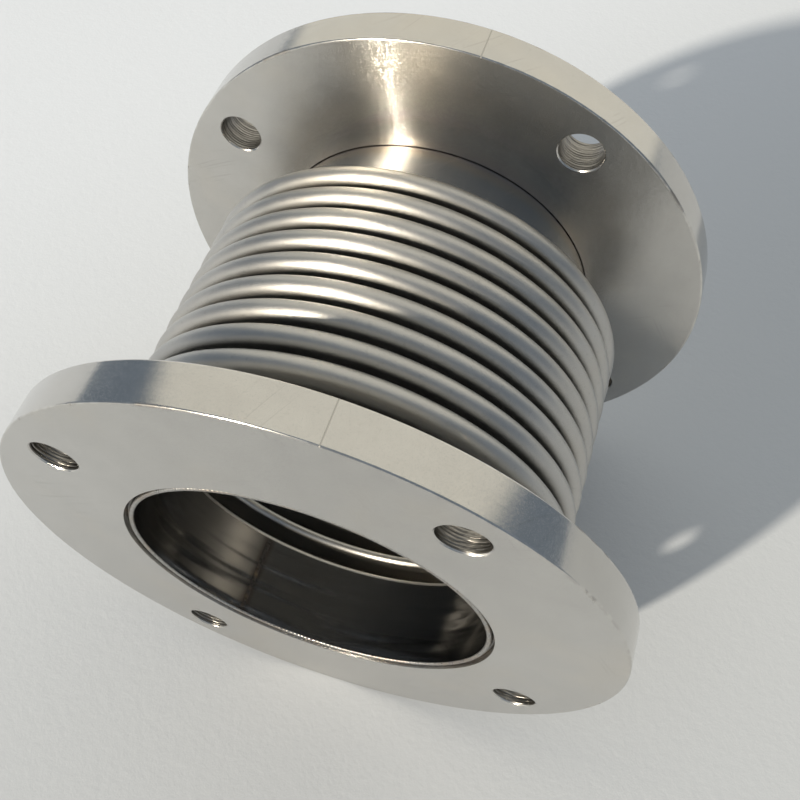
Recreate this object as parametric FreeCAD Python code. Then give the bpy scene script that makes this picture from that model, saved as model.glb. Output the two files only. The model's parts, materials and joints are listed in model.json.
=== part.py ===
import FreeCAD, Part
import math
import os

# A flanged metal bellows expansion joint for DN 80 pipe, in millimetres.
# The pipe axis runs along +Y. The origin is on the axis, in the sealing face of the
# near flange, and +Z is up when the joint lies on the rims of its two flanges.

# ---- driving dimensions -------------------------------------------------------------

# the two plain flange rings
FLANGE_DIAMETER = 150.0
FLANGE_THICKNESS = 10.0
FLANGE_EDGE_CHAMFER = 0.5
BOLT_CIRCLE_DIAMETER = 128.0
BOLT_HOLE_DIAMETER = 11.0
BOLT_HOLE_COUNT = 4
FIRST_BOLT_HOLE_ANGLE = 33.0  # from +Z towards +X
BOLT_HOLE_CHAMFER = 0.3

# the neck tubes, which are pipe, and the recess of their ends below the sealing faces
NECK_TUBE_DIAMETER = 88.9
NECK_TUBE_WALL = 0.8
NECK_RECESS = 0.9

# the bellows, formed out of one thin tube with a straight cuff at each end
BELLOWS_WALL = 0.4
CONVOLUTION_COUNT = 9
CONVOLUTION_PITCH = 6.75
CONVOLUTION_HEIGHT = 13.15  # radial, from the inside of the cuff to the top of a crest
CREST_BEND_RADIUS = 2.3     # of the middle of the wall
NEAR_CUFF_LENGTH = 21.6     # from the cuff's edge to the first bend
FAR_CUFF_LENGTH = 27.6

# the rings that back up the outermost convolutions
END_RING_HEIGHT = 6.35  # radial, above the neck tube
END_RING_WIDTH = 3.0
END_RING_ROUND = 0.8

# welds
FACE_GROOVE_WIDTH = 0.9    # radial, round the neck tube's end
FACE_GROOVE_DEPTH = 2.2
FACE_WELD_THROAT = 0.8
EDGE_WELD_HEIGHT = 0.5
RING_WELD_LEG = 1.2
RING_WELD_DISH = 0.42      # depth of the fillet's hollow face, as a share of its leg
SEAM_WIDTH = 1.0
SEAM_HEIGHT = 0.2
SEAM_ANGLE = 211.5  # from +Z towards +X

# ---- clearances ---------------------------------------------------------------------

BORE_CLEARANCE = 0.25      # radial, flange bore round the neck tube
FLEX_GAP = 0.3             # radial, where a wall is divided into a crest and a root ring
CUFF_STANDOUT = 0.325      # axial, end of the neck tube to where the cuff bends away
CREST_CLEARANCE = 0.6      # radial, a crest ring that moves over the end ring
SEAM_END_MARGIN = 1.0      # seam bead to either end of its cuff

# ---- derived places and sizes -------------------------------------------------------

neck_outer = NECK_TUBE_DIAMETER / 2
neck_inner = neck_outer - NECK_TUBE_WALL
cuff_outer = neck_inner
cuff_inner = cuff_outer - BELLOWS_WALL
flange_bore = neck_outer + BORE_CLEARANCE
groove_radius = neck_outer + FACE_GROOVE_WIDTH

half_wall = BELLOWS_WALL / 2
root_bend_radius = CONVOLUTION_PITCH / 2 - CREST_BEND_RADIUS
crest_centre_radius = cuff_inner + CONVOLUTION_HEIGHT - CREST_BEND_RADIUS - half_wall
root_centre_radius = cuff_inner + half_wall + root_bend_radius
end_ring_outer = neck_outer + END_RING_HEIGHT
crest_wall_start = end_ring_outer + CREST_CLEARANCE
root_wall_end = crest_wall_start - FLEX_GAP

bellows_length = CONVOLUTION_COUNT * CONVOLUTION_PITCH
bellows_start = NECK_RECESS + NEAR_CUFF_LENGTH
bellows_end = bellows_start + bellows_length
overall_length = bellows_end + FAR_CUFF_LENGTH + NECK_RECESS

first_crest = bellows_start + CONVOLUTION_PITCH / 2
near_ring_side = bellows_start - CUFF_STANDOUT
far_ring_side = bellows_end + CUFF_STANDOUT

AXIS_POINT = FreeCAD.Vector(0, 0, 0)
AXIS = FreeCAD.Vector(0, 1, 0)


# ---- helpers ------------------------------------------------------------------------

def point(radius, along):
    """A point of a cross-section, by its distance from the axis and along it."""
    return FreeCAD.Vector(radius, along, 0)


def revolved(steps):
    """Turn a closed cross-section once round the pipe axis.

    Each step is a (radius, along) corner, or a pair of them, the middle and the end of
    an arc that starts at the corner before it.
    """
    first = point(*steps[0])
    last = first
    edges = []
    for step in steps[1:] + [steps[0]]:
        if isinstance(step[0], tuple):
            middle, end = point(*step[0]), point(*step[1])
            edges.append(Part.Arc(last, middle, end).toShape())
        else:
            end = point(*step)
            if end.distanceToPoint(last) < 1e-9:
                continue
            edges.append(Part.LineSegment(last, end).toShape())
        last = end
    face = Part.Face(Part.Wire(edges))
    return face.revolve(AXIS_POINT, AXIS, 360)


def mirrored_to_far_end(shape):
    """The same piece at the other end of the joint."""
    middle = FreeCAD.Vector(0, overall_length / 2, 0)
    return shape.mirror(middle, AXIS)


def around_axis(radius, angle, along):
    """A point at an angle that is measured from +Z towards +X."""
    turn = math.radians(angle)
    return FreeCAD.Vector(radius * math.sin(turn), along, radius * math.cos(turn))


# ---- flanges ------------------------------------------------------------------------

def near_flange():
    """A flat ring with a weld groove round its bore and a pattern of bolt holes."""
    outer = FLANGE_DIAMETER / 2
    ring = revolved([
        (groove_radius, 0),
        (outer - FLANGE_EDGE_CHAMFER, 0),
        (outer, FLANGE_EDGE_CHAMFER),
        (outer, FLANGE_THICKNESS - FLANGE_EDGE_CHAMFER),
        (outer - FLANGE_EDGE_CHAMFER, FLANGE_THICKNESS),
        (flange_bore, FLANGE_THICKNESS),
        (flange_bore, FACE_GROOVE_DEPTH),
        (groove_radius, FACE_GROOVE_DEPTH),
    ])
    return ring.cut(Part.makeCompound([bolt_hole(n) for n in range(BOLT_HOLE_COUNT)]))


def bolt_hole(number):
    """The space of one bolt hole, with a small chamfer at both of its ends."""
    angle = FIRST_BOLT_HOLE_ANGLE + number * 360 / BOLT_HOLE_COUNT
    radius = BOLT_HOLE_DIAMETER / 2
    centre = around_axis(BOLT_CIRCLE_DIAMETER / 2, angle, 0)
    hole = Part.makeCylinder(radius, FLANGE_THICKNESS, centre, AXIS)
    wide = radius + BOLT_HOLE_CHAMFER
    inner_face = centre + AXIS * FLANGE_THICKNESS
    start = Part.makeCone(wide, radius, BOLT_HOLE_CHAMFER, centre, AXIS)
    end = Part.makeCone(wide, radius, BOLT_HOLE_CHAMFER, inner_face, AXIS * -1)
    return hole.fuse([start, end]).removeSplitter()


# ---- necks and end rings ------------------------------------------------------------

def neck_tube(start, end):
    """A length of pipe round the cuff, from inside the flange to behind the end ring."""
    return revolved([
        (neck_inner, start),
        (neck_outer, start),
        (neck_outer, end),
        (neck_inner, end),
    ])


def end_ring(bellows_side, outward):
    """A ring on the neck tube that backs up the outermost convolution."""
    far_side = bellows_side + outward * END_RING_WIDTH
    corner = END_RING_ROUND * (1 - math.sqrt(0.5))
    rim = end_ring_outer
    return revolved([
        (neck_outer, bellows_side),
        (rim - END_RING_ROUND, bellows_side),
        ((rim - corner, bellows_side + outward * corner),
         (rim, bellows_side + outward * END_RING_ROUND)),
        (rim, far_side - outward * END_RING_ROUND),
        ((rim - corner, far_side - outward * corner),
         (rim - END_RING_ROUND, far_side)),
        (neck_outer, far_side),
    ])


# ---- bellows ------------------------------------------------------------------------

def crest(number):
    """The outer bend of one convolution, with the outer part of both side walls."""
    middle = first_crest + number * CONVOLUTION_PITCH
    large = CREST_BEND_RADIUS + half_wall
    small = CREST_BEND_RADIUS - half_wall
    return revolved([
        (crest_wall_start, middle - large),
        (crest_centre_radius, middle - large),
        ((crest_centre_radius + large, middle), (crest_centre_radius, middle + large)),
        (crest_wall_start, middle + large),
        (crest_wall_start, middle + small),
        (crest_centre_radius, middle + small),
        ((crest_centre_radius + small, middle), (crest_centre_radius, middle - small)),
        (crest_wall_start, middle - small),
    ])


def root(number):
    """The inner bend between two convolutions, with the inner part of their side walls."""
    middle = first_crest + (number + 0.5) * CONVOLUTION_PITCH
    large = root_bend_radius + half_wall
    small = root_bend_radius - half_wall
    return revolved([
        (root_wall_end, middle - large),
        (root_centre_radius, middle - large),
        ((root_centre_radius - large, middle), (root_centre_radius, middle + large)),
        (root_wall_end, middle + large),
        (root_wall_end, middle + small),
        (root_centre_radius, middle + small),
        ((root_centre_radius - small, middle), (root_centre_radius, middle - small)),
        (root_wall_end, middle - small),
    ])


def cuff(edge, bend):
    """A straight end of the bellows, from its free edge to the start of its first bend."""
    return revolved([
        (cuff_inner, edge),
        (cuff_inner, bend),
        (cuff_outer, bend),
        (cuff_outer, edge),
    ])


def end_bend(bend, outward):
    """The bend from a cuff up into the inner part of the first side wall.

    bend is where the cuff ends. outward is -1 at the near end and 1 at the far end.
    """
    large = root_bend_radius + half_wall
    small = root_bend_radius - half_wall
    slant = math.sqrt(0.5)
    return revolved([
        (cuff_inner, bend),
        ((root_centre_radius - large * slant, bend - outward * large * slant),
         (root_centre_radius, bend - outward * large)),
        (root_wall_end, bend - outward * large),
        (root_wall_end, bend - outward * small),
        (root_centre_radius, bend - outward * small),
        ((root_centre_radius - small * slant, bend - outward * small * slant),
         (cuff_outer, bend)),
    ])


# ---- welds --------------------------------------------------------------------------

def near_face_weld():
    """The weld in the flange's groove, which slopes down to its middle from both sides."""
    bottom = FACE_GROOVE_DEPTH
    top = bottom - FACE_WELD_THROAT
    return revolved([
        (neck_outer, bottom),
        (neck_outer, top),
        (neck_outer + FACE_GROOVE_WIDTH / 2, top + FACE_WELD_THROAT / 4),
        (groove_radius, top),
        (groove_radius, bottom),
    ])


def near_edge_weld():
    """The bead that melts the edges of the cuff and the neck tube together.

    Its crown is made of four slopes, the outer two steeper than the inner two.
    """
    width = neck_outer - cuff_inner
    shoulder = NECK_RECESS - EDGE_WELD_HEIGHT * 0.75
    return revolved([
        (cuff_inner, NECK_RECESS),
        (cuff_inner + width / 6, shoulder),
        (cuff_inner + width / 2, NECK_RECESS - EDGE_WELD_HEIGHT),
        (neck_outer - width / 6, shoulder),
        (neck_outer, NECK_RECESS),
    ])


def ring_weld(corner, outward):
    """The fillet between the neck tube and the side of an end ring away from the bellows."""
    sunk = RING_WELD_LEG * RING_WELD_DISH
    return revolved([
        (neck_outer, corner),
        (neck_outer, corner + outward * RING_WELD_LEG),
        ((neck_outer + sunk, corner + outward * sunk), (neck_outer + RING_WELD_LEG, corner)),
    ])


def seam(start, end):
    """The bead of the lengthwise seam on the inside of a cuff."""
    width = math.degrees(SEAM_WIDTH / cuff_inner)
    bead = revolved([
        (cuff_inner - SEAM_HEIGHT, start),
        (cuff_inner, start),
        (cuff_inner, end),
        (cuff_inner - SEAM_HEIGHT, end),
    ])
    reach = cuff_inner * 2
    sides = [around_axis(reach, SEAM_ANGLE + turn * width / 2, start) for turn in (-1, 1)]
    corners = [FreeCAD.Vector(0, start, 0)] + sides + [FreeCAD.Vector(0, start, 0)]
    slice_face = Part.Face(Part.makePolygon(corners))
    return bead.common(slice_face.extrude(AXIS * (end - start)))


# ---- all pieces ---------------------------------------------------------------------

def pieces():
    """Every piece of the joint, by the name of its node."""
    far = mirrored_to_far_end
    cuff_edge = overall_length - NECK_RECESS
    near_seam_end = bellows_start - SEAM_END_MARGIN
    far_seam_start = bellows_end + SEAM_END_MARGIN
    found = {
        "near_flange": near_flange(),
        "near_neck_tube": neck_tube(NECK_RECESS, near_ring_side),
        "near_end_ring": end_ring(near_ring_side, -1),
        "near_bellows_cuff": cuff(NECK_RECESS, bellows_start),
        "near_bellows_bend": end_bend(bellows_start, -1),
        "near_face_weld": near_face_weld(),
        "near_edge_weld": near_edge_weld(),
        "near_ring_weld": ring_weld(near_ring_side - END_RING_WIDTH, -1),
        "near_cuff_seam": seam(NECK_RECESS + SEAM_END_MARGIN, near_seam_end),
        "far_flange": far(near_flange()),
        "far_neck_tube": neck_tube(far_ring_side, cuff_edge),
        "far_end_ring": end_ring(far_ring_side, 1),
        "far_bellows_cuff": cuff(cuff_edge, bellows_end),
        "far_bellows_bend": end_bend(bellows_end, 1),
        "far_face_weld": far(near_face_weld()),
        "far_edge_weld": far(near_edge_weld()),
        "far_ring_weld": ring_weld(far_ring_side + END_RING_WIDTH, 1),
        "far_cuff_seam": seam(far_seam_start, cuff_edge - SEAM_END_MARGIN),
    }
    for number in range(CONVOLUTION_COUNT):
        found[f"bellows_crest_{number + 1}"] = crest(number)
    for number in range(CONVOLUTION_COUNT - 1):
        found[f"bellows_root_{number + 1}"] = root(number)
    return found


if __name__ == "__main__":
    os.makedirs("parts", exist_ok=True)
    for name, shape in pieces().items():
        shape.exportStep(f"parts/{name}.step")
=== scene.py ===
import json
import logging
import math
from contextlib import contextmanager
from dataclasses import dataclass
from enum import Enum
from typing import Callable, Iterator, Union

import bmesh
import bpy
import numpy as np
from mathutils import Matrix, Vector

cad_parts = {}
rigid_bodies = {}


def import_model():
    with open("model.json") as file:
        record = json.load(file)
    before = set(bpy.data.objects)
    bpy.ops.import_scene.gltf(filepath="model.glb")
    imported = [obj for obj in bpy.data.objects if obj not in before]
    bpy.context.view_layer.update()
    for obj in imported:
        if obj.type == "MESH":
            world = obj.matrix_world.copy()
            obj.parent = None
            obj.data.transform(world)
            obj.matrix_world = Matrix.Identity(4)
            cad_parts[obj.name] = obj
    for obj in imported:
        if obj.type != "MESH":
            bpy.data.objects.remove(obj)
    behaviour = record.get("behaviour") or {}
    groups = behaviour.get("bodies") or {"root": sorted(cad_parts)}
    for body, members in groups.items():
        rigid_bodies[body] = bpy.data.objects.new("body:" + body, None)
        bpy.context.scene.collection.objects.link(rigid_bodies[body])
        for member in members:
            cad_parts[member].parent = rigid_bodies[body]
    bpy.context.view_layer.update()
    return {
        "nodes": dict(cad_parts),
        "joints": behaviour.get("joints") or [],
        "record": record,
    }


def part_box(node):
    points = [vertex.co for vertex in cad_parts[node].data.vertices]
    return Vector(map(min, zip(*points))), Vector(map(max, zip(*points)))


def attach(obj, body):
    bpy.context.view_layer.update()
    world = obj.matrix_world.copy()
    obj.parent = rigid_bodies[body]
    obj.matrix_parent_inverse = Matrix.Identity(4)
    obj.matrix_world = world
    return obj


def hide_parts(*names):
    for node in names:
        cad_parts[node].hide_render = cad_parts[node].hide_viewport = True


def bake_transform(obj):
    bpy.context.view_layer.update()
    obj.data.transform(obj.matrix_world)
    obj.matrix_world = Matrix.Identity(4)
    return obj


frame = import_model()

log = logging.getLogger("bellows_joint")

MM = 0.001
TURN_STEPS = 240
HOLE_STEPS = 72
SMOOTH_ANGLE = math.radians(32)
SAME_PLACE = 2e-6
NEAR_AXIS = 1 * MM


# ---- measures of the frame -----------------------------------------------------------

class End(Enum):
    """The two ends of the joint, by the way that leads out of it along the pipe axis."""

    NEAR = -1
    FAR = 1

    @property
    def word(self) -> str:
        """The end's name in the names of nodes and pieces."""
        return self.name.lower()


@dataclass(frozen=True)
class Span:
    """What a round part takes up: two radii, and its start and end along the axis."""

    inner: float
    outer: float
    start: float
    end: float

    @classmethod
    def of(cls, node: str) -> "Span":
        """Measure a CAD node about the pipe axis.

        Args:
            node: The node's name.

        Returns:
            The span that its vertices take up.
        """
        vertices = frame["nodes"][node].data.vertices
        points = np.array([v.co for v in vertices], float).reshape(-1, 3)
        radii = np.hypot(points[:, 0], points[:, 2])
        return cls(
            float(radii.min()),
            float(radii.max()),
            float(points[:, 1].min()),
            float(points[:, 1].max()),
        )

    @property
    def length(self) -> float:
        """How long the part is along the axis."""
        return self.end - self.start

    @property
    def middle(self) -> float:
        """The place halfway along the part."""
        return (self.start + self.end) / 2

    def face(self, end: End, outward: bool = True) -> float:
        """The part's side towards an end of the joint, or the side away from it."""
        return self.end if (end is End.FAR) == outward else self.start


@dataclass(frozen=True)
class BoltHoles:
    """The bolt holes of a flange: their radius, and their centres' x and z."""

    radius: float
    centres: tuple[tuple[float, float], ...]

    @classmethod
    def of_record(cls) -> "BoltHoles":
        """Take the holes from the mounts, and the first one's angle from its opening."""
        record = frame["record"]
        sizes = next(m["dims"] for m in record["mounts"] if m["kind"] == "bolt_pattern")
        hole = next(o for o in record["physics"]["openings"] if "bolt_hole_1" in o["name"])
        low, high = (Vector(corner) for corner in hole["box_m"])
        middle = (low + high) / 2
        first = math.atan2(middle.x, middle.z)
        circle = sizes["pcd_mm"] * MM / 2
        angles = [first + n * 2 * math.pi / sizes["count"] for n in range(sizes["count"])]
        return cls(sizes["hole_r_mm"] * MM,
                   tuple((circle * math.sin(a), circle * math.cos(a)) for a in angles))


def seam_angle() -> float:
    """Where the cuffs' lengthwise seam lies, from +Z towards +X."""
    low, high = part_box("near_cuff_seam")
    middle = (low + high) / 2
    return math.atan2(middle.x, middle.z)


# ---- modelling -----------------------------------------------------------------------

def deselect_all() -> None:
    """Leave nothing selected in object mode."""
    if bpy.context.mode != "OBJECT":
        bpy.ops.object.mode_set(mode="OBJECT")
    bpy.ops.object.select_all(action="DESELECT")


def make_active(piece: bpy.types.Object) -> None:
    """Select one piece alone and make it the active one."""
    deselect_all()
    piece.select_set(True)
    bpy.context.view_layer.objects.active = piece


@contextmanager
def editing(piece: bpy.types.Object, select: str = "VERT") -> Iterator[None]:
    """Edit a piece's mesh, with nothing of it selected at first.

    Args:
        piece: The piece to edit.
        select: What operators pick, VERT, EDGE or FACE.
    """
    make_active(piece)
    bpy.ops.object.mode_set(mode="EDIT")
    bpy.ops.mesh.select_mode(type=select)
    bpy.ops.mesh.select_all(action="DESELECT")
    yield
    bpy.ops.object.mode_set(mode="OBJECT")


def pick(test: Callable[[Vector], bool], faces: bool = False) -> None:
    """Select what lies where a test says, in the mesh that is being edited.

    Args:
        test: Takes a vertex's place, or a face's centre, and says whether to select it.
        faces: Whether to select faces and not vertices.
    """
    mesh = bpy.context.edit_object.data
    shape = bmesh.from_edit_mesh(mesh)
    for part in shape.faces if faces else shape.verts:
        place = part.calc_center_median() if faces else part.co
        part.select_set(test(place))
    if not faces:
        shape.select_flush(True)
    bmesh.update_edit_mesh(mesh)


def named(name: str) -> bpy.types.Object:
    """Name the piece that an operator has just added.

    Args:
        name: The piece's new name.

    Returns:
        The piece.
    """
    piece = bpy.context.active_object
    piece.name = name
    piece.data.name = name
    return piece


def settle(piece: bpy.types.Object) -> None:
    """Move a piece's place, turn and scale into its mesh."""
    make_active(piece)
    bpy.ops.object.transform_apply(location=True, rotation=True, scale=True)


def apply_modifier(piece: bpy.types.Object, kind: str, **settings: object) -> None:
    """Add a modifier to a piece, set it and apply it.

    Args:
        piece: The piece to change.
        kind: The modifier's type.
        settings: Its properties by name.
    """
    make_active(piece)
    bpy.ops.object.modifier_add(type=kind)
    modifier = piece.modifiers[-1]
    for key, value in settings.items():
        setattr(modifier, key, value)
    bpy.ops.object.modifier_apply(modifier=modifier.name)


def rectangle(name: str, span: Span) -> bpy.types.Object:
    """A flat cross-section with square corners, in the plane of the axis and +X.

    Args:
        name: The piece's name.
        span: The section's radii and its place along the axis.

    Returns:
        The flat piece.
    """
    deselect_all()
    centre = ((span.inner + span.outer) / 2, span.middle, 0)
    bpy.ops.mesh.primitive_plane_add(size=1, location=centre)
    piece = named(name)
    piece.scale = (span.outer - span.inner, span.length, 1)
    settle(piece)
    return piece


def oval(name: str, radius: float, along: float, size: tuple[float, float],
         corners: int = 24) -> bpy.types.Object:
    """A flat oval cross-section, such as a weld bead's.

    Args:
        name: The piece's name.
        radius: Its centre's distance from the axis.
        along: Its centre's place along the axis.
        size: Half its size away from the axis, and half its size along it.
        corners: How many corners stand for the curve.

    Returns:
        The flat piece.
    """
    deselect_all()
    bpy.ops.mesh.primitive_circle_add(
        vertices=corners, radius=1, fill_type="NGON", location=(radius, along, 0))
    piece = named(name)
    piece.scale = (size[0], size[1], 1)
    settle(piece)
    return piece


def round_corners(piece: bpy.types.Object, test: Callable[[Vector], bool], width: float,
                  segments: int) -> None:
    """Bevel some corners of a cross-section.

    Args:
        piece: The flat piece.
        test: Picks the corners by their place.
        width: How far the bevel reaches from the corner.
        segments: How many edges it has.
    """
    with editing(piece):
        pick(test)
        bpy.ops.mesh.bevel(affect="VERTICES", offset=width, segments=segments)


def turn(piece: bpy.types.Object, steps: int = TURN_STEPS) -> None:
    """Turn a cross-section once round the pipe axis into a closed ring."""
    with editing(piece):
        bpy.ops.mesh.select_all(action="SELECT")
        if piece.data.polygons:
            bpy.ops.mesh.delete(type="ONLY_FACE")
        bpy.ops.mesh.select_all(action="SELECT")
        bpy.ops.mesh.spin(steps=steps, angle=2 * math.pi, center=(0, 0, 0), axis=(0, 1, 0))
        tidy_surface()


def tidy_surface() -> None:
    """Join doubled points and turn all faces outwards, in the mesh being edited."""
    bpy.ops.mesh.select_all(action="SELECT")
    bpy.ops.mesh.remove_doubles(threshold=SAME_PLACE / 2)
    bpy.ops.mesh.normals_make_consistent(inside=False)


def smooth(piece: bpy.types.Object, weighted: bool = True) -> None:
    """Shade a piece smooth, with its flat faces kept flat.

    Args:
        piece: The piece to shade.
        weighted: Whether large faces keep their own normals over their small neighbours.
    """
    make_active(piece)
    bpy.ops.object.shade_smooth_by_angle(angle=SMOOTH_ANGLE)
    if weighted:
        apply_modifier(piece, "WEIGHTED_NORMAL", keep_sharp=True, weight=100)


# ---- shader maths --------------------------------------------------------------------

Number = Union[float, "Term"]


class Term:
    """A number that changes over a surface, with Python's arithmetic on it."""

    def __init__(self, graph: "Graph", socket: bpy.types.NodeSocket) -> None:
        """Wrap an output socket of a graph."""
        self.graph = graph
        self.socket = socket

    def maths(self, operation: str, *values: Number) -> "Term":
        """One Math node on these values."""
        return self.graph.add("ShaderNodeMath", {"operation": operation}, *values)

    def __add__(self, other: Number) -> "Term":
        """The sum."""
        return self.maths("ADD", self, other)

    def __radd__(self, other: Number) -> "Term":
        """The sum."""
        return self.maths("ADD", other, self)

    def __sub__(self, other: Number) -> "Term":
        """The difference."""
        return self.maths("SUBTRACT", self, other)

    def __rsub__(self, other: Number) -> "Term":
        """The difference from a plain number."""
        return self.maths("SUBTRACT", other, self)

    def __mul__(self, other: Number) -> "Term":
        """The product."""
        return self.maths("MULTIPLY", self, other)

    def __rmul__(self, other: Number) -> "Term":
        """The product."""
        return self.maths("MULTIPLY", other, self)

    def __truediv__(self, other: Number) -> "Term":
        """The quotient."""
        return self.maths("DIVIDE", self, other)

    def __pow__(self, other: Number) -> "Term":
        """The power."""
        return self.maths("POWER", self, other)

    def root(self) -> "Term":
        """The square root."""
        return self.maths("SQRT", self)

    def size(self) -> "Term":
        """The number without its sign."""
        return self.maths("ABSOLUTE", self)

    def least(self, other: Number) -> "Term":
        """The smaller of two."""
        return self.maths("MINIMUM", self, other)

    def most(self, other: Number) -> "Term":
        """The larger of two."""
        return self.maths("MAXIMUM", self, other)

    def wave(self) -> "Term":
        """The sine."""
        return self.maths("SINE", self)

    def between(self, low: float, high: float) -> "Term":
        """A smooth step from 0 at low to 1 at high, or down if low is above high."""
        settings = {"interpolation_type": "SMOOTHSTEP"}
        return self.graph.add("ShaderNodeMapRange", settings, self, low, high, 0.0, 1.0)

    def near(self, place: Number, width: float) -> "Term":
        """A smooth hump of 1 at a place, down to 0 at width on both sides."""
        return (self - place).size().between(width, 0.0)


class Graph:
    """The nodes of one material, added one by one."""

    def __init__(self, name: str) -> None:
        """Start an empty material."""
        self.material = bpy.data.materials.new(name)
        self.material.use_nodes = True
        self.tree = self.material.node_tree
        self.tree.nodes.clear()

    def add(self, kind: str, settings: dict | None = None, *values: object,
            output: int = 0, **by_name: object) -> Term:
        """Add a node.

        Args:
            kind: The node's type.
            settings: Its own properties, which are set first.
            values: Values or terms for its sockets in their order; None skips one.
            output: Which of its outputs is wanted.
            by_name: Values or terms for its sockets by name, with _ for a space.

        Returns:
            The wanted output.
        """
        node = self.tree.nodes.new(kind)
        for key, value in (settings or {}).items():
            setattr(node, key, value)
        for socket, value in zip(node.inputs, values):
            self.feed(socket, value)
        for name, value in by_name.items():
            self.feed(node.inputs[name.replace("_", " ")], value)
        return Term(self, node.outputs[output])

    def feed(self, socket: bpy.types.NodeSocket, value: object) -> None:
        """Link a term to a socket, or set the socket to a plain value."""
        if value is None:
            return
        if isinstance(value, Term):
            self.tree.links.new(value.socket, socket)
        else:
            socket.default_value = value

    def vector(self, operation: str, *values: object, output: int = 0) -> Term:
        """One Vector Math node."""
        return self.add("ShaderNodeVectorMath", {"operation": operation}, *values,
                        output=output)

    def combined(self, x: Number, y: Number, z: Number) -> Term:
        """A vector of three numbers."""
        return self.add("ShaderNodeCombineXYZ", None, x, y, z)

    def noise(self, place: Term, scale: float, detail: float = 2.0,
              roughness: float = 0.5) -> Term:
        """A smooth random value, about 0.5 on average."""
        return self.add("ShaderNodeTexNoise", {"noise_dimensions": "3D"}, Vector=place,
                        Scale=scale, Detail=detail, Roughness=roughness)

    def mixed(self, share: Number, first: object, second: object) -> Term:
        """A colour between two colours."""
        node = self.tree.nodes.new("ShaderNodeMix")
        node.data_type = "RGBA"
        node.clamp_factor = True
        self.feed(node.inputs[0], share)
        self.feed(node.inputs[6], first)
        self.feed(node.inputs[7], second)
        return Term(self, node.outputs[2])

    def turned(self, normal: Term, to: str) -> Term:
        """A normal in the axes of the object or of the world, taken from the other's."""
        source = "WORLD" if to == "OBJECT" else "OBJECT"
        settings = {"vector_type": "NORMAL", "convert_from": source, "convert_to": to}
        return self.add("ShaderNodeVectorTransform", settings, normal)

    def cylinder_place(self) -> "CylinderPlace":
        """The shaded point's place, straight and round the pipe axis."""
        place = self.add("ShaderNodeTexCoord", output=3)
        node = self.add("ShaderNodeSeparateXYZ", None, place).socket.node
        x, along, z = (Term(self, socket) for socket in node.outputs)
        return CylinderPlace(place, x, along, z, (x * x + z * z).root(),
                             x.maths("ARCTAN2", x, z))

    def finish(self, **sockets: object) -> bpy.types.Material:
        """Add the shader and the output, and give the material."""
        shader = self.tree.nodes.new("ShaderNodeBsdfPrincipled")
        for name, value in sockets.items():
            self.feed(shader.inputs[name.replace("_", " ")], value)
        output = self.tree.nodes.new("ShaderNodeOutputMaterial")
        self.tree.links.new(shader.outputs[0], output.inputs[0])
        return self.material


@dataclass(frozen=True)
class CylinderPlace:
    """A shaded point's place: its coordinates, and its radius and angle round the axis."""

    place: Term
    x: Term
    along: Term
    z: Term
    radius: Term
    angle: Term

    def streaked(self, graph: Graph, across: float, around: float) -> Term:
        """A place for noise that is drawn out round the axis and closes on itself.

        Args:
            graph: The material's graph.
            across: How fast it changes across the streaks, per metre.
            around: How fast it changes round the axis, per radian.

        Returns:
            The place, as a vector.
        """
        safe = self.radius.most(NEAR_AXIS)
        return graph.combined(self.x / safe * around, (self.radius + self.along * 1.3) * across,
                              self.z / safe * around)


# Colours that stains, wear and weld heat give to steel, and a painted shade for the flange
# rims.
STRAW_OXIDE = (0.62, 0.45, 0.24, 1)
BLUE_OXIDE = (0.26, 0.27, 0.40, 1)
BEAD_STRAW = (0.46, 0.31, 0.17, 1)
BEAD_BLUE = (0.17, 0.18, 0.30, 1)
SEAM_STAIN = (0.20, 0.17, 0.14, 1)
DARK_SPECK = (0.16, 0.15, 0.14, 1)
SCRATCHED = (0.36, 0.35, 0.34, 1)
PAINTED_RIM_SHADE = (0.42, 0.40, 0.37, 1)
TOOL_LINE = (0.30, 0.29, 0.26, 1)
BARE_EDGE = (0.74, 0.72, 0.68, 1)
GRIME = (0.12, 0.10, 0.09, 1)


@dataclass(frozen=True)
class Tint:
    """A band of weld heat round the axis, coloured as thin oxide is."""

    along: float
    width: float
    strength: float


@dataclass(frozen=True)
class Marks:
    """Fine marks that run round the axis, as tilts of the surface across them.

    Most tilt it by up to slope. A few are as steep as slope and flank together, and those
    catch the sun where the smooth surface doesn't. The higher the power, the fewer they are.
    """

    slope: float
    flank: float = 0.3
    power: float = 3.0


@dataclass(frozen=True)
class Rim:
    """The turned outer side of a flange, which is smoother than its faces."""

    radius: float
    planes: tuple[float, ...]
    roughness: float = 0.10
    marks: Marks = Marks(0.03, 0.35, 5.0)
    # How far the whole rim is darkened: painted shade for its darker reflections.
    shade: float = 0.30
    line_angle: float = math.radians(7)
    line_width: float = 0.22 * MM
    worn_width: float = 0.7 * MM


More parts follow.
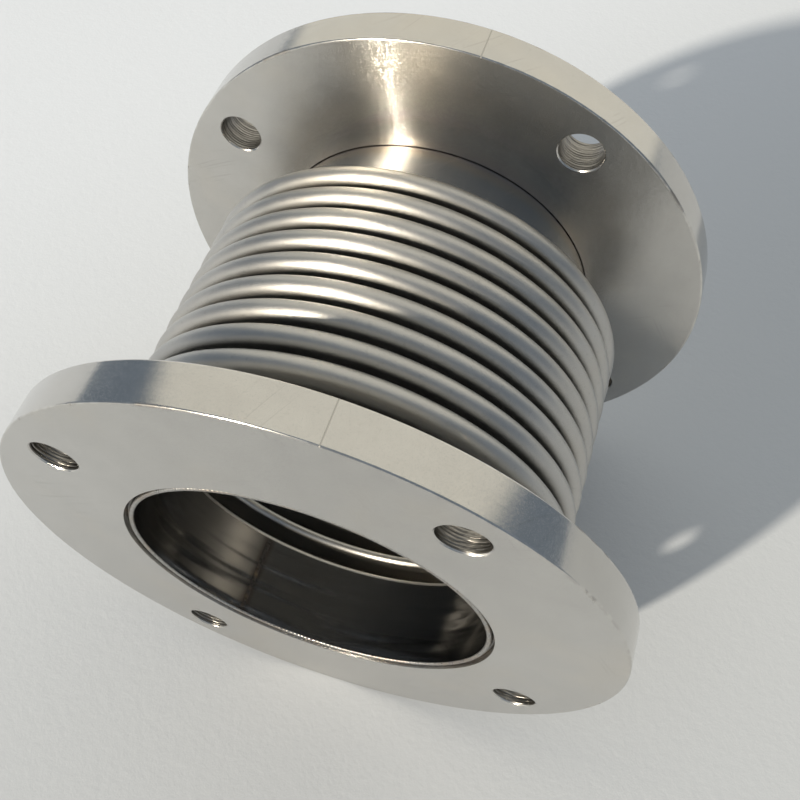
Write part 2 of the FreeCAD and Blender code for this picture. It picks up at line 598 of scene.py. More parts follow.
@dataclass(frozen=True)
class SteelFinish:
    """Stainless steel that was turned, formed or polished round the pipe axis."""

    name: str
    color: tuple[float, float, float]
    roughness: float
    marks: Marks
    mark_pitch: float = 0.02 * MM
    marks_around: float = 1000.0
    waves: float = 0.006
    wave_pitch: float = 0.7 * MM
    waves_around: float = 1.2
    mottle: float = 0.05
    mottle_size: float = 9 * MM
    dullness: float = 0.10
    haze: float = 0.0
    scratches: float = 0.5
    rim: Rim | None = None
    tints: tuple[Tint, ...] = ()
    seam_angle: float | None = None

    def material(self) -> bpy.types.Material:
        """The finish as a material."""
        graph = Graph(self.name)
        at = graph.cylinder_place()
        blotch = graph.noise(at.place, 1 / self.mottle_size, 4.0, 0.6)
        smear = graph.noise(at.streaked(graph, 60.0, 1.1), 1.0, 3.0)
        scratch = self.scratch_mask(graph, at)
        rough = self.roughness + (blotch - 0.5) * self.dullness
        rough = rough + (smear - 0.5) * self.dullness * 0.8 + scratch * 0.12
        color = self.colored(graph, at, blotch, scratch)
        slope, flank, power = self.marks.slope, self.marks.flank, self.marks.power
        if self.rim is not None:
            on_rim = at.radius.between(self.rim.radius - 0.5 * MM, self.rim.radius - 0.3 * MM)
            rough = rough + on_rim * (self.rim.roughness - self.roughness)
            slope = on_rim * (self.rim.marks.slope - slope) + slope
            flank = on_rim * (self.rim.marks.flank - flank) + flank
            power = on_rim * (self.rim.marks.power - power) + power
            color, rough = self.worn(graph, at, on_rim, color, rough)
        normal = self.marked_normal(graph, at, slope, flank, power)
        bump = graph.add("ShaderNodeBump", None, Strength=self.mottle,
                         Distance=0.4 * MM, Height=blotch, Normal=normal)
        return graph.finish(Base_Color=color, Metallic=1.0, Normal=bump,
                            Roughness=rough.most(0.06).least(0.75))

    def scratch_mask(self, graph: Graph, at: "CylinderPlace") -> Term:
        """Where a few fine straight handling scratches lie, in two directions."""
        drift = graph.noise(at.place, 30.0, 1.0) * 0.004
        found = None
        for turned in (0.5, 2.1):
            cos, sin = math.cos(turned), math.sin(turned)
            length = at.x * cos + at.z * sin + at.along * 0.6
            width = at.z * cos - at.x * sin + at.along * 0.5 + drift
            lines = graph.noise(graph.combined(length * 55, width * 1900, turned), 1.0, 0.0)
            mask = lines.between(0.735, 0.79)
            found = mask if found is None else found.most(mask)
        return found * graph.noise(at.place, 45.0, 2.0).between(0.50, 0.62) * self.scratches

    def colored(self, graph: Graph, at: "CylinderPlace", blotch: Term,
                scratch: Term) -> Term:
        """The steel's colour, with its stains and its weld tints."""
        dark = tuple(c * 0.88 for c in self.color)
        color = graph.mixed((blotch - 0.32) * 1.6, (*dark, 1), (*self.color, 1))
        warm = (self.color[0] * 1.01, self.color[1] * 0.965, self.color[2] * 0.89, 1)
        stain = graph.noise(at.place, 21.0, 3.0, 0.65).between(0.48, 0.72)
        color = graph.mixed(stain * 0.5, color, warm)
        if self.haze:
            speck = graph.noise(at.place, 900.0, 2.0).between(0.60, 0.74)
            color = graph.mixed(speck * self.haze, color, DARK_SPECK)
        color = graph.mixed(scratch, color, SCRATCHED)
        for tint in self.tints:
            wander = graph.noise(at.streaked(graph, 0.0, 2.7), 1.0, 2.0)
            edge = at.along + (wander - 0.5) * tint.width * 0.7
            straw = edge.near(tint.along, tint.width) * tint.strength
            blue = edge.near(tint.along, tint.width * 0.45) * tint.strength
            color = graph.mixed(straw, color, STRAW_OXIDE)
            color = graph.mixed(blue * 0.8, color, BLUE_OXIDE)
        if self.seam_angle is not None:
            off = (at.angle - self.seam_angle).size() * at.radius
            color = graph.mixed(off.between(2.4 * MM, 0.6 * MM) * 0.6, color, SEAM_STAIN)
        return color

    def worn(self, graph: Graph, at: "CylinderPlace", on_rim: Term, color: Term,
             rough: Term) -> tuple[Term, Term]:
        """The rim's painted shade, the line where the lathe tool left the rim, and the wear
        along its two edges.
        """
        rim = self.rim
        # Painted shade: the whole rim is darkened to stand in for the darker reflections it
        # shows.
        color = graph.mixed(on_rim * rim.shade, color, PAINTED_RIM_SHADE)
        line = (at.angle - rim.line_angle).size() * at.radius
        line = line.between(rim.line_width, rim.line_width * 0.3) * on_rim
        color = graph.mixed(line * 0.55, color, TOOL_LINE)
        to_face = (at.along - rim.planes[0]).size()
        for plane in rim.planes[1:]:
            to_face = to_face.least((at.along - plane).size())
        corner = to_face.most((at.radius - rim.radius).size())
        edge = corner.between(rim.worn_width, rim.worn_width * 0.35)
        nick = graph.noise(at.place, 330.0, 3.0, 0.6)
        bright = edge * nick.between(0.42, 0.60)
        grime = edge * graph.noise(at.place, 60.0, 4.0, 0.7).between(0.55, 0.68)
        color = graph.mixed(bright * 0.6, color, BARE_EDGE)
        color = graph.mixed(grime * 0.6, color, GRIME)
        return color, rough + line * 0.2 + edge * 0.10 + grime * 0.2

    def marked_normal(self, graph: Graph, at: "CylinderPlace", slope: Number,
                      flank: Number, power: Number) -> Term:
        """The surface's normal, tilted across its fine marks and its broad waves.

        Args:
            graph: The material's graph.
            at: The shaded point.
            slope: How far an ordinary mark tilts the surface.
            flank: How much further the steepest do.
            power: How rare the steep ones are.

        Returns:
            The normal, in world axes.
        """
        safe = at.radius.most(NEAR_AXIS)
        around = graph.combined(at.z / safe, 0.0, at.x / safe * -1.0)
        straight = graph.turned(graph.add("ShaderNodeNewGeometry", output=1), "OBJECT")
        across = graph.vector("CROSS_PRODUCT", straight, around)
        cell = graph.vector("FLOOR", graph.combined(
            at.radius / self.mark_pitch, at.along / self.mark_pitch,
            at.angle * self.marks_around))
        mark = graph.add("ShaderNodeTexWhiteNoise", {"noise_dimensions": "3D"},
                         Vector=cell) * 2.0 - 1.0
        wave_at = at.streaked(graph, 1 / self.wave_pitch, self.waves_around)
        wave = (graph.noise(wave_at, 1.0, 1.0) - 0.5) * 5.0
        lean = mark * slope + mark * (mark * mark) ** power * flank + wave * self.waves
        tilted = graph.vector("ADD", straight, graph.add(
            "ShaderNodeVectorMath", {"operation": "SCALE"}, across, Scale=lean))
        return graph.turned(graph.vector("NORMALIZE", tilted), "WORLD")


@dataclass(frozen=True)
class DrilledFinish:
    """The wall of a drilled hole: coarse rings and torn streaks left by the drill."""

    name: str
    color: tuple[float, float, float] = (0.43, 0.41, 0.38)
    roughness: float = 0.33

    def material(self) -> bpy.types.Material:
        """The finish as a material."""
        graph = Graph(self.name)
        at = graph.cylinder_place()
        place, along = at.place, at.along
        rings = graph.noise(graph.vector("MULTIPLY", place, (90.0, 1700.0, 90.0)), 1.0, 3.0,
                            0.6)
        tears = graph.noise(graph.vector("MULTIPLY", place, (420.0, 900.0, 420.0)), 1.0, 4.0)
        feed = (along * (2 * math.pi / (0.75 * MM)) + tears * 4).wave()
        rough = self.roughness + (rings - 0.5) * 0.35
        dark = tuple(c * 0.32 for c in self.color)
        share = rings.between(0.36, 0.62) * 0.7 + feed * 0.15 + 0.15
        color = graph.mixed(share, (*dark, 1), (*self.color, 1))
        bump = graph.add("ShaderNodeBump", None, Strength=0.9, Distance=0.26 * MM,
                         Height=feed * 0.2 + rings + tears * 0.7)
        return graph.finish(Base_Color=color, Metallic=1.0, Normal=bump,
                            Roughness=rough.most(0.15).least(0.7))


@dataclass(frozen=True)
class WeldFinish:
    """A fused weld bead with its ripples and its oxide colours."""

    name: str
    ripple_length: float = 0.9 * MM
    ripples_around: int = 250
    lengthwise: bool = False
    color: tuple[float, float, float] = (0.50, 0.48, 0.46)
    oxide: float = 0.5

    def material(self) -> bpy.types.Material:
        """The finish as a material."""
        graph = Graph(self.name)
        at = graph.cylinder_place()
        place = at.place
        if self.lengthwise:
            phase = at.along * (2 * math.pi / self.ripple_length)
        else:
            phase = at.angle * self.ripples_around
        wobble = graph.noise(place, 260.0, 2.0)
        ripple = (phase + wobble * 7).wave()
        grit = graph.noise(place, 2600.0, 3.0, 0.6)
        hue = graph.noise(place, 95.0, 3.0, 0.6)
        dark = tuple(c * 0.5 for c in self.color)
        color = graph.mixed(grit.between(0.3, 0.6), (*dark, 1), (*self.color, 1))
        color = graph.mixed(hue.between(0.45, 0.62) * self.oxide, color, BEAD_STRAW)
        color = graph.mixed(hue.between(0.56, 0.70) * self.oxide, color, BEAD_BLUE)
        bump = graph.add("ShaderNodeBump", None, Strength=0.7, Distance=0.12 * MM,
                         Height=ripple * 0.5 + grit * 0.5)
        return graph.finish(Base_Color=color, Metallic=1.0, Normal=bump,
                            Roughness=0.30 + (grit - 0.5) * 0.3)


@dataclass(frozen=True)
class FloorFinish:
    """A plain pale studio floor with a faint grain, and painted shade that darkens it towards
    the front right, where the light falls off.
    """

    name: str = "pale_floor"
    color: tuple[float, float, float] = (0.74, 0.785, 0.865)
    # The darker colour of the floor's painted shade, and the span over which it darkens towards
    # the front right.
    near_color: tuple[float, float, float] = (0.55, 0.58, 0.625)
    fade: tuple[float, float] = (-0.30, 0.02)

    def material(self) -> bpy.types.Material:
        """The finish as a material."""
        graph = Graph(self.name)
        place = graph.add("ShaderNodeTexCoord", output=3)
        grain = graph.noise(place, 420.0, 3.0, 0.6)
        drift = graph.noise(place, 5.0, 2.0)
        low = tuple(c * 0.93 for c in self.color)
        color = graph.mixed(grain * 0.5 + drift * 0.5, (*low, 1), (*self.color, 1))
        # Painted shade: the floor darkens towards the front right, standing in for light that
        # falls off there.
        along = graph.vector("DOT_PRODUCT", place, (0.75, -0.65, 0.0), output=1)
        color = graph.mixed(along.between(*self.fade), color, (*self.near_color, 1))
        bump = graph.add("ShaderNodeBump", None, Strength=0.25, Distance=0.5 * MM,
                         Height=grain)
        return graph.finish(Base_Color=color, Roughness=0.85, Normal=bump)


# ---- sub-assemblies ------------------------------------------------------------------

def place_piece(piece: bpy.types.Object, finish: bpy.types.Material,
                nodes: tuple[str, ...], body: str | None = None) -> None:
    """Dress a finished piece, say what it stands for and put it on its body.

    Args:
        piece: The finished piece.
        finish: Its material.
        nodes: The CAD nodes that it stands for.
        body: The body that it rides on, or None to leave it on no body.
    """
    if piece.data.materials:
        piece.data.materials[0] = finish
    else:
        piece.data.materials.append(finish)
    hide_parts(*nodes)
    if body:
        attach(piece, body)
    log.info("%s: %d faces for %s", piece.name, len(piece.data.polygons), ", ".join(nodes))


@dataclass
class Palette:
    """The materials that the pieces share."""

    flange: bpy.types.Material
    drilled: bpy.types.Material
    neck: bpy.types.Material
    bellows: bpy.types.Material
    cuff: bpy.types.Material
    weld: bpy.types.Material
    lip: bpy.types.Material
    seam: bpy.types.Material

    @classmethod
    def mixed_for(cls, flange: Span, seam_angle: float) -> "Palette":
        """Make the finishes.

        Args:
            flange: The near flange's span, for its rim.
            seam_angle: Where the lengthwise seam of the cuffs lies.

        Returns:
            The palette.
        """
        far_flange = Span.of("far_flange")
        rim = Rim(flange.outer, (flange.start, flange.end, far_flange.start, far_flange.end))
        heat = tuple(Tint(place, 5.0 * MM, 0.4) for place in (flange.end, far_flange.start))
        return cls(
            flange=SteelFinish("turned_flange_steel", (0.69, 0.675, 0.645), 0.20,
                               Marks(0.20, 0.62, 5.0), haze=0.05, scratches=0.2,
                               rim=rim).material(),
            drilled=DrilledFinish("drilled_wall").material(),
            # Painted shade: the neck steel's dark base colour stands in for the shadow and dark
            # reflections on the neck.
            neck=SteelFinish("neck_pipe_steel", (0.38, 0.375, 0.365), 0.20,
                             Marks(0.10, 0.6, 3.0), tints=heat).material(),
            bellows=SteelFinish("formed_bellows_steel", (0.545, 0.535, 0.515), 0.37,
                                Marks(0.16, 0.3, 3.0), mottle=0.06, haze=0.12,
                                scratches=0.1).material(),
            # Painted shade: the cuff steel's dark base colour stands in for the shade inside
            # the pipe; its seam stain is its own.
            cuff=SteelFinish("cuff_steel", (0.40, 0.40, 0.40), 0.15, Marks(0.04, 0.1),
                             waves=0.11, wave_pitch=3.4 * MM, waves_around=1.2, mottle=0.10,
                             mottle_size=9 * MM, scratches=0.15,
                             seam_angle=seam_angle).material(),
            weld=WeldFinish("groove_weld", color=(0.30, 0.29, 0.28)).material(),
            lip=WeldFinish("rolled_lip_weld", color=(0.50, 0.49, 0.47), oxide=0.3).material(),
            seam=WeldFinish("seam_weld", lengthwise=True, color=(0.12, 0.11, 0.10),
                            oxide=0.5).material(),
        )


@dataclass
class FlangedEnd:
    """One rigid end: flange, neck tube, end ring, cuff and their welds.

    The finishes are shared with the other end. All sizes come from the CAD nodes.
    """

    end: End
    palette: Palette
    flange: Span
    neck: Span
    ring: Span
    cuff: Span
    face_weld: Span
    edge_weld: Span
    ring_weld: Span
    seam_bead: Span
    edge_chamfer: float = 0.5 * MM
    hole_chamfer: float = 0.3 * MM

    @classmethod
    def of(cls, end: End, palette: Palette) -> "FlangedEnd":
        """Measure one end's nodes.

        Args:
            end: Which end.
            palette: The finishes.

        Returns:
            The end, ready to build.
        """
        parts = ("flange", "neck_tube", "end_ring", "bellows_cuff", "face_weld", "edge_weld",
                 "ring_weld", "cuff_seam")
        return cls(end, palette, *(Span.of(f"{end.word}_{part}") for part in parts))

    @property
    def body(self) -> str:
        """The body that all of this end's pieces ride on."""
        return f"{self.end.word}_end"

    def build(self) -> None:
        """Model, dress and place every piece of this end."""
        self.build_flange()
        self.build_neck_pipe()
        self.build_backing_ring()
        self.build_cuff_sleeve()
        self.build_groove_weld()
        self.build_lip_weld()
        self.build_fillet_weld()
        self.build_seam_bead()

    def put(self, piece: bpy.types.Object, finish: bpy.types.Material,
            part: str) -> None:
        """Place a finished piece that stands for one node of this end."""
        place_piece(piece, finish, (f"{self.end.word}_{part}",), self.body)

    def build_flange(self) -> None:
        """The flange ring: its section is turned, then its bolt holes are drilled."""
        size = self.flange
        groove_floor = self.face_weld.face(self.end, outward=False)
        groove_radius = self.face_weld.outer
        piece = rectangle(f"{self.end.word}_flange_ring", size)
        with editing(piece, "FACE"):
            for spot, way in (((groove_radius, 0, 0), (1, 0, 0)),
                              ((0, groove_floor, 0), (0, 1, 0))):
                bpy.ops.mesh.select_all(action="SELECT")
                bpy.ops.mesh.bisect(plane_co=spot, plane_no=way)
            bpy.ops.mesh.select_all(action="DESELECT")
            pick(lambda c: c.x < groove_radius
                 and (c.y - groove_floor) * self.end.value > 0, faces=True)
            bpy.ops.mesh.delete(type="FACE")
        chamfer = self.edge_chamfer
        round_corners(piece, lambda c: abs(c.x - size.outer) < SAME_PLACE
                      and min(abs(c.y - size.start), abs(c.y - size.end)) < SAME_PLACE,
                      chamfer, 3)
        sealing = size.face(self.end)
        round_corners(piece, lambda c: abs(c.x - groove_radius) < SAME_PLACE
                      and abs(c.y - sealing) < SAME_PLACE, 0.12 * MM, 2)
        with editing(piece):
            bpy.ops.mesh.select_all(action="SELECT")
            bpy.ops.mesh.dissolve_limited(angle_limit=math.radians(1))
        turn(piece)
        self.drill(piece)
        smooth(piece)
        self.dress_holes(piece)
        self.put(piece, self.palette.flange, "flange")

    def drill(self, flange: bpy.types.Object) -> None:
        """Cut the bolt holes, each with a small chamfer at both faces."""
        size, holes = self.flange, BoltHoles.of_record()
        flare = (holes.radius + self.hole_chamfer) / holes.radius
        for number, (x, z) in enumerate(holes.centres, 1):
            centre = Vector((x, size.middle, z))
            deselect_all()
            bpy.ops.mesh.primitive_cylinder_add(
                vertices=HOLE_STEPS, radius=holes.radius,
                depth=size.length - 2 * self.hole_chamfer,
                location=centre, rotation=(math.pi / 2, 0, 0))
            drill = named(f"drill_{number}")
            settle(drill)
            for way in (-1, 1):
                self.flare_end(drill, centre, way, flare)
            apply_modifier(flange, "BOOLEAN", operation="DIFFERENCE", solver="MANIFOLD",
                           object=drill)
            bpy.data.objects.remove(drill)

    def flare_end(self, drill: bpy.types.Object, centre: Vector, way: int,
                  flare: float) -> None:
        """Widen one end of a drill into a chamfer cutter, and lead it out of the face."""
        reach = drill_end = self.flange.length / 2 - self.hole_chamfer
        with editing(drill, "FACE"):
            pick(lambda c: abs((c.y - centre.y) * way - drill_end) < SAME_PLACE, faces=True)
            for step, scale in ((self.hole_chamfer, flare), (1 * MM, 1.0)):
                bpy.ops.mesh.extrude_region_move(
                    TRANSFORM_OT_translate={"value": (0, way * step, 0)})
                reach += step
                bpy.ops.transform.resize(
                    value=(scale, 1, scale),
                    center_override=(centre.x, centre.y + way * reach, centre.z))

    def dress_holes(self, flange: bpy.types.Object) -> None:
        """Give the walls of the bolt holes their own finish."""
        holes = BoltHoles.of_record()
        flange.data.materials.clear()
        flange.data.materials.append(self.palette.flange)
        flange.data.materials.append(self.palette.drilled)
        reach = holes.radius + self.hole_chamfer * 0.5
        for face in flange.data.polygons:
            away = min(math.hypot(face.center.x - x, face.center.z - z)
                       for x, z in holes.centres)
            if away < reach and abs(face.normal.y) < 0.5:
                face.material_index = 1

    def build_neck_pipe(self) -> None:
        """The neck tube, with its edge broken at the sealing face."""
        piece = rectangle(f"{self.end.word}_neck_pipe", self.neck)
        outer_end = self.neck.face(self.end)
        round_corners(piece, lambda c: c.x > self.neck.inner + SAME_PLACE
                      and abs(c.y - outer_end) < SAME_PLACE, 0.15 * MM, 2)
        turn(piece)
        smooth(piece)
        self.put(piece, self.palette.neck, "neck_tube")

    def build_backing_ring(self) -> None:
        """The end ring, with a rounded rim."""
        piece = rectangle(f"{self.end.word}_backing_ring", self.ring)
        round_corners(piece, lambda c: abs(c.x - self.ring.outer) < SAME_PLACE, 0.8 * MM, 8)
        turn(piece)
        smooth(piece)
        self.put(piece, self.palette.bellows, "end_ring")

    def build_cuff_sleeve(self) -> None:
        """The straight thin cuff inside the neck tube."""
        piece = rectangle(f"{self.end.word}_cuff_sleeve", self.cuff)
        turn(piece)
        smooth(piece)
        self.put(piece, self.palette.cuff, "bellows_cuff")

    def bead(self, name: str, radius: float, along: float, size: tuple[float, float],
             unevenness: float) -> bpy.types.Object:
        """A weld bead round the axis, laid a little unevenly.

        Args:
            name: The piece's name.
            radius: The bead's middle, away from the axis.
            along: The bead's middle along the axis.
            size: Half its size away from the axis and along it.
            unevenness: How far its surface wanders.

        Returns:
            The finished bead.
        """
        piece = oval(name, radius, along, size, 16)
        turn(piece, 2 * TURN_STEPS)
        grain = bpy.data.textures.new(f"{name}_grain", "CLOUDS")
        grain.noise_scale = 1.4 * MM
        apply_modifier(piece, "DISPLACE", texture=grain, strength=unevenness, mid_level=0.5,
                       texture_coords="LOCAL")
        smooth(piece, weighted=False)
        return piece

    def build_groove_weld(self) -> None:
        """The sunken weld between the flange's groove and the neck tube."""
        size = self.face_weld
        half = (size.outer - size.inner) / 2
        piece = self.bead(f"{self.end.word}_groove_weld", size.inner + half,
                          size.face(self.end, outward=False) + self.end.value * 0.15 * MM,
                          (half, size.length * 0.6), 0.12 * MM)
        self.put(piece, self.palette.weld, "face_weld")

    def build_lip_weld(self) -> None:
        """The rolled lip that closes the edges of the neck tube and the cuff."""
        size = self.edge_weld
        half = (size.outer - size.inner) / 2
        piece = self.bead(f"{self.end.word}_lip_weld", size.inner + half,
                          size.face(self.end, outward=False), (half, size.length), 0.04 * MM)
        self.put(piece, self.palette.lip, "edge_weld")

    def build_fillet_weld(self) -> None:
        """The fillet that holds the end ring on the neck tube."""
        size = self.ring_weld
        leg = size.length
        corner = size.face(self.end, outward=False)
        piece = self.bead(f"{self.end.word}_fillet_weld", size.inner + leg * 0.15,
                          corner + self.end.value * leg * 0.15, (leg * 0.7, leg * 0.7),
                          0.10 * MM)
        self.put(piece, self.palette.weld, "ring_weld")

    def build_seam_bead(self) -> None:
        """The lengthwise seam of the thin tube, as a low crowned bead inside the cuff."""
        low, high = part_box(f"{self.end.word}_cuff_seam")
        angle = seam_angle()
        reach = self.cuff.inner
        length = self.seam_bead.length
        width = math.hypot(high.x - low.x, high.z - low.z)
        deselect_all()
        bpy.ops.mesh.primitive_cube_add(
            size=1, location=(math.sin(angle) * reach, self.seam_bead.middle,
                              math.cos(angle) * reach),
            rotation=(0, angle, 0))
        piece = named(f"{self.end.word}_cuff_seam_bead")
        piece.scale = (width, length, 0.36 * MM)
        settle(piece)
        with editing(piece, "FACE"):
            bpy.ops.mesh.select_all(action="SELECT")
            bpy.ops.mesh.bevel(offset=0.17 * MM, segments=4, affect="EDGES")
            tidy_surface()
        smooth(piece)
        self.put(piece, self.palette.seam, "cuff_seam")


@dataclass(frozen=True)
class HalfConvolution:
    """Half a wave of the bellows' wall: a root bend, a side wall and a crest bend."""

    name: str
    crest_body: str
    root_body: str
    nodes: tuple[str, ...]
    root: tuple[float, float]
    crest: tuple[float, float]
    root_bend: float
    crest_bend: float
    wall: float
    bend_steps: int = 14

    @property
    def way(self) -> int:
        """1 if the crest lies beyond the root along the axis, and -1 if before it."""
        return 1 if self.crest[1] > self.root[1] else -1

    def build(self, finish: bpy.types.Material) -> None:
        """Model the half wave, shade it with true normals and give it its finish.

        Args:
            finish: The bellows' material.
        """
        piece = self.root_arc()
        self.raise_wall(piece)
        turn(piece)
        apply_modifier(piece, "SOLIDIFY", thickness=self.wall, offset=0.0,
                       use_even_offset=True)
        with editing(piece):
            self.square_rims()
            bpy.ops.mesh.select_all(action="SELECT")
            bpy.ops.mesh.normals_make_consistent(inside=False)
        make_active(piece)
        bpy.ops.object.shade_smooth_by_angle(angle=SMOOTH_ANGLE)
        self.set_true_normals(piece)
        place_piece(piece, finish, self.nodes)
        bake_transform(piece)

    def root_arc(self) -> bpy.types.Object:
        """The root's quarter bend, as an open line cut out of a circle."""
        radius, along = self.root
        deselect_all()
        bpy.ops.mesh.primitive_circle_add(
            vertices=4 * self.bend_steps, radius=self.root_bend, fill_type="NOTHING",
            location=(radius, along, 0))
        piece = named(self.name)
        settle(piece)
        with editing(piece):
            pick(lambda c: c.x > radius + SAME_PLACE
                 or (c.y - along) * self.way < -SAME_PLACE)
            bpy.ops.mesh.delete(type="VERT")
        return piece

    def raise_wall(self, piece: bpy.types.Object) -> None:
        """Lead the line up the side wall and round the crest's quarter bend."""
        radius, along = self.root
        top_radius, top_along = self.crest
        with editing(piece):
            pick(lambda c: abs(c.x - radius) < SAME_PLACE)
            bpy.ops.mesh.extrude_vertices_move(
                TRANSFORM_OT_translate={"value": (top_radius - radius, 0, 0)})
            bpy.ops.mesh.spin(steps=self.bend_steps, angle=-self.way * math.pi / 2,
                              center=(top_radius, top_along, 0), axis=(0, 0, 1))
            bpy.ops.mesh.select_all(action="SELECT")
            bpy.ops.mesh.remove_doubles(threshold=SAME_PLACE / 2)

    def square_rims(self) -> None:
        """Bring both cut edges exactly into the planes where the next halves start."""
        for _, along in (self.root, self.crest):
            bpy.ops.mesh.select_all(action="DESELECT")
            pick(lambda c: abs(c.y - along) < 0.05 * MM)
            bpy.ops.transform.resize(value=(1, 0, 1), center_override=(0, along, 0))

    def set_true_normals(self, piece: bpy.types.Object) -> None:
        """Give each corner the exact normal of the formed wall.

        Two halves then meet at a crest or a root with no crease between them.
        """
        mesh = piece.data
        count = len(mesh.vertices)
        points = np.zeros(count * 3)
        mesh.vertices.foreach_get("co", points)
        points = points.reshape(-1, 3)
        radii = np.hypot(points[:, 0], points[:, 2])
        middle = self.root[1] + self.way * self.root_bend
        past = (points[:, 1] - middle) * self.way
        root_side = radii < (self.root[0] + self.crest[0]) / 2
        centre_r = np.where(root_side, self.root[0], self.crest[0])
        centre_y = np.where(root_side, self.root[1], self.crest[1])
        bent = np.where(root_side, radii < centre_r, radii > centre_r)
        rise = np.where(bent, radii - centre_r, 0.0)
        run = np.where(bent, points[:, 1] - centre_y,
                       np.where(root_side, past + self.root_bend, past - self.crest_bend)
                       * self.way)
        length = np.maximum(np.hypot(rise, run), 1e-9)
        bend = np.where(root_side, self.root_bend, self.crest_bend)
        outside = np.where(length > bend, 1.0, -1.0)
        rise, run = rise / length * outside, run / length * outside
        across = points[:, [0, 2]] / radii[:, None]
        true = np.stack([across[:, 0] * rise, run, across[:, 1] * rise], axis=1)
        of_face = np.array([face.normal for face in mesh.polygons])
        centre_of_face = np.array([face.center for face in mesh.polygons])[:, 1]
        on_rim = np.minimum(abs(centre_of_face - self.root[1]),
                            abs(centre_of_face - self.crest[1])) < SAME_PLACE
        sizes = [face.loop_total for face in mesh.polygons]
        vertex_of = np.array([corner.vertex_index for corner in mesh.loops])
        normals = np.where(np.repeat(on_rim, sizes)[:, None],
                           np.repeat(of_face, sizes, axis=0), true[vertex_of])
        mesh.normals_split_custom_set(normals.tolist())


@dataclass
class Bellows:
    """The formed bellows: its half waves from cuff to cuff, one for each joint."""

    finish: bpy.types.Material
    chain: tuple[str, ...]
    start: float
    half_pitch: float
    root_radius: float
    crest_radius: float
    root_bend: float
    crest_bend: float
    wall: float

    @classmethod
    def of(cls, finish: bpy.types.Material) -> "Bellows":
        """Measure the crest and root rings.

        Args:
            finish: The bellows' material.

        Returns:
            The bellows, ready to build.
        """
        crest, root = Span.of("bellows_crest_1"), Span.of("bellows_root_1")
        half_pitch = root.middle - crest.middle
        wall = (crest.length + root.length) / 2 - half_pitch
        crest_bend = (crest.length - wall) / 2
        root_bend = (root.length - wall) / 2
        joints = frame["joints"]
        chain = (joints[0]["parent"], *(joint["child"] for joint in joints))
        return cls(
            finish, chain, crest.middle - half_pitch, half_pitch,
            root.inner + wall / 2 + root_bend, crest.outer - wall / 2 - crest_bend,
            root_bend, crest_bend, wall)

    def node_of(self, body: str) -> str:
        """The bellows' CAD node that moves with a body."""
        end, _, rest = body.partition("_")
        return f"{end}_bellows_bend" if rest == "end" else f"bellows_{body}"

    def build(self) -> None:
        """Model every half wave."""
        for number in range(len(self.chain) - 1):
            before, after = self.chain[number], self.chain[number + 1]
            here = self.start + number * self.half_pitch
            there = here + self.half_pitch
            rising = number % 2 == 0
            root, crest = (here, there) if rising else (there, here)
            root_body, crest_body = (before, after) if rising else (after, before)
            HalfConvolution(
                f"convolution_{number // 2 + 1}_{'near' if rising else 'far'}_half",
                crest_body, root_body, (self.node_of(before), self.node_of(after)),
                (self.root_radius, root), (self.crest_radius, crest),
                self.root_bend, self.crest_bend, self.wall,
            ).build(self.finish)


# ---- studio --------------------------------------------------------------------------

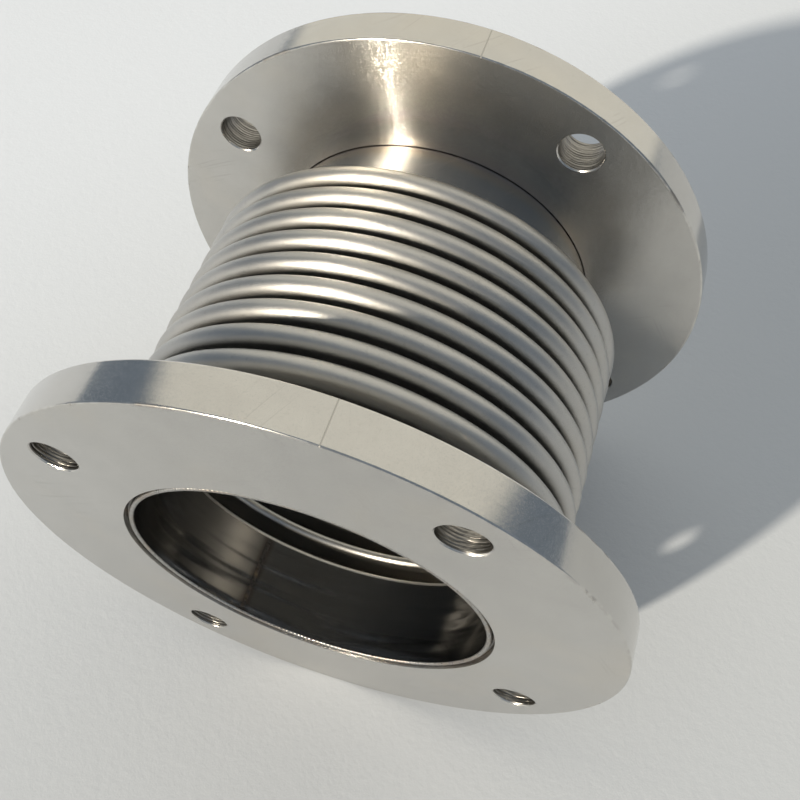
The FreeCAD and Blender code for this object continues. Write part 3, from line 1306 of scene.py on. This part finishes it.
@dataclass
class Studio:
    """The floor, the lights and the camera."""

    floor_height: float
    floor_size: float = 8.0
    camera_place: tuple[float, float, float] = (0.0441, -0.0659, 0.2089)
    camera_target: tuple[float, float, float] = (0.00516, 0.0561, 0.0)
    lens: float = 41.97
    sun_azimuth: float = -120.0
    sun_elevation: float = 26.0
    sun_strength: float = 4.3
    sun_width: float = math.radians(2.2)
    sun_color: tuple[float, float, float] = (1.0, 0.90, 0.735)
    sky_color: tuple[float, float, float] = (0.195, 0.235, 0.285)
    patch_color: tuple[float, float, float] = (0.92, 0.895, 0.80)
    patch_towards: tuple[float, float, float] = (0.0, 0.8, 0.6)
    patch_edge: tuple[float, float] = (0.54, 0.64)

    def build(self) -> None:
        """Set up everything round the joint."""
        self.build_floor()
        self.build_sky()
        self.build_lights()
        self.build_camera()
        bpy.context.scene.view_settings.view_transform = "Standard"

    def build_floor(self) -> None:
        """A plain floor that the flange rims lie on."""
        deselect_all()
        bpy.ops.mesh.primitive_plane_add(size=self.floor_size,
                                         location=(0, 0, self.floor_height))
        floor = named("studio_floor")
        settle(floor)
        floor.data.materials.append(FloorFinish().material())

    def build_sky(self) -> None:
        """A blue-grey room, with one large warm pale patch above and behind the joint."""
        world = bpy.data.worlds.new("soft_room")
        world.use_nodes = True
        bpy.context.scene.world = world
        nodes, links = world.node_tree.nodes, world.node_tree.links
        nodes.clear()
        place = nodes.new("ShaderNodeTexCoord")
        nearness = nodes.new("ShaderNodeVectorMath")
        nearness.operation = "DOT_PRODUCT"
        nearness.inputs[1].default_value = Vector(self.patch_towards).normalized()
        share = nodes.new("ShaderNodeMapRange")
        share.interpolation_type = "SMOOTHSTEP"
        share.inputs["From Min"].default_value = self.patch_edge[0]
        share.inputs["From Max"].default_value = self.patch_edge[1]
        mix = nodes.new("ShaderNodeMix")
        mix.data_type = "RGBA"
        mix.inputs[6].default_value = (*self.sky_color, 1)
        mix.inputs[7].default_value = (*self.patch_color, 1)
        background = nodes.new("ShaderNodeBackground")
        output = nodes.new("ShaderNodeOutputWorld")
        links.new(place.outputs["Generated"], nearness.inputs[0])
        links.new(nearness.outputs["Value"], share.inputs["Value"])
        links.new(share.outputs[0], mix.inputs[0])
        links.new(mix.outputs[2], background.inputs[0])
        links.new(background.outputs[0], output.inputs[0])

    def build_lights(self) -> None:
        """A low warm key light from the front left."""
        azimuth, elevation = math.radians(self.sun_azimuth), math.radians(self.sun_elevation)
        towards = Vector((math.cos(elevation) * math.cos(azimuth),
                          math.cos(elevation) * math.sin(azimuth), math.sin(elevation)))
        deselect_all()
        bpy.ops.object.light_add(type="SUN", location=towards * 2)
        sun = bpy.context.active_object
        sun.name = "key_light"
        sun.data.energy = self.sun_strength
        sun.data.angle = self.sun_width
        sun.data.color = self.sun_color
        sun.rotation_euler = towards.to_track_quat("Z", "Y").to_euler()

    def build_camera(self) -> None:
        """A hand-held view from above, over the near flange."""
        deselect_all()
        bpy.ops.object.camera_add(location=self.camera_place)
        camera = bpy.context.active_object
        camera.name = "view_camera"
        away = Vector(self.camera_place) - Vector(self.camera_target)
        camera.rotation_euler = away.to_track_quat("Z", "Y").to_euler()
        camera.data.lens = self.lens
        camera.data.sensor_width = 36.0
        camera.data.clip_start = 0.005
        bpy.context.scene.camera = camera


def main() -> None:
    """Build the joint and its studio."""
    logging.basicConfig(level=logging.INFO, format="%(name)s: %(message)s")
    flange = Span.of("near_flange")
    palette = Palette.mixed_for(flange, seam_angle())
    for end in End:
        FlangedEnd.of(end, palette).build()
    Bellows.of(palette.bellows).build()
    Studio(-flange.outer).build()


if __name__ == "__main__":
    main()
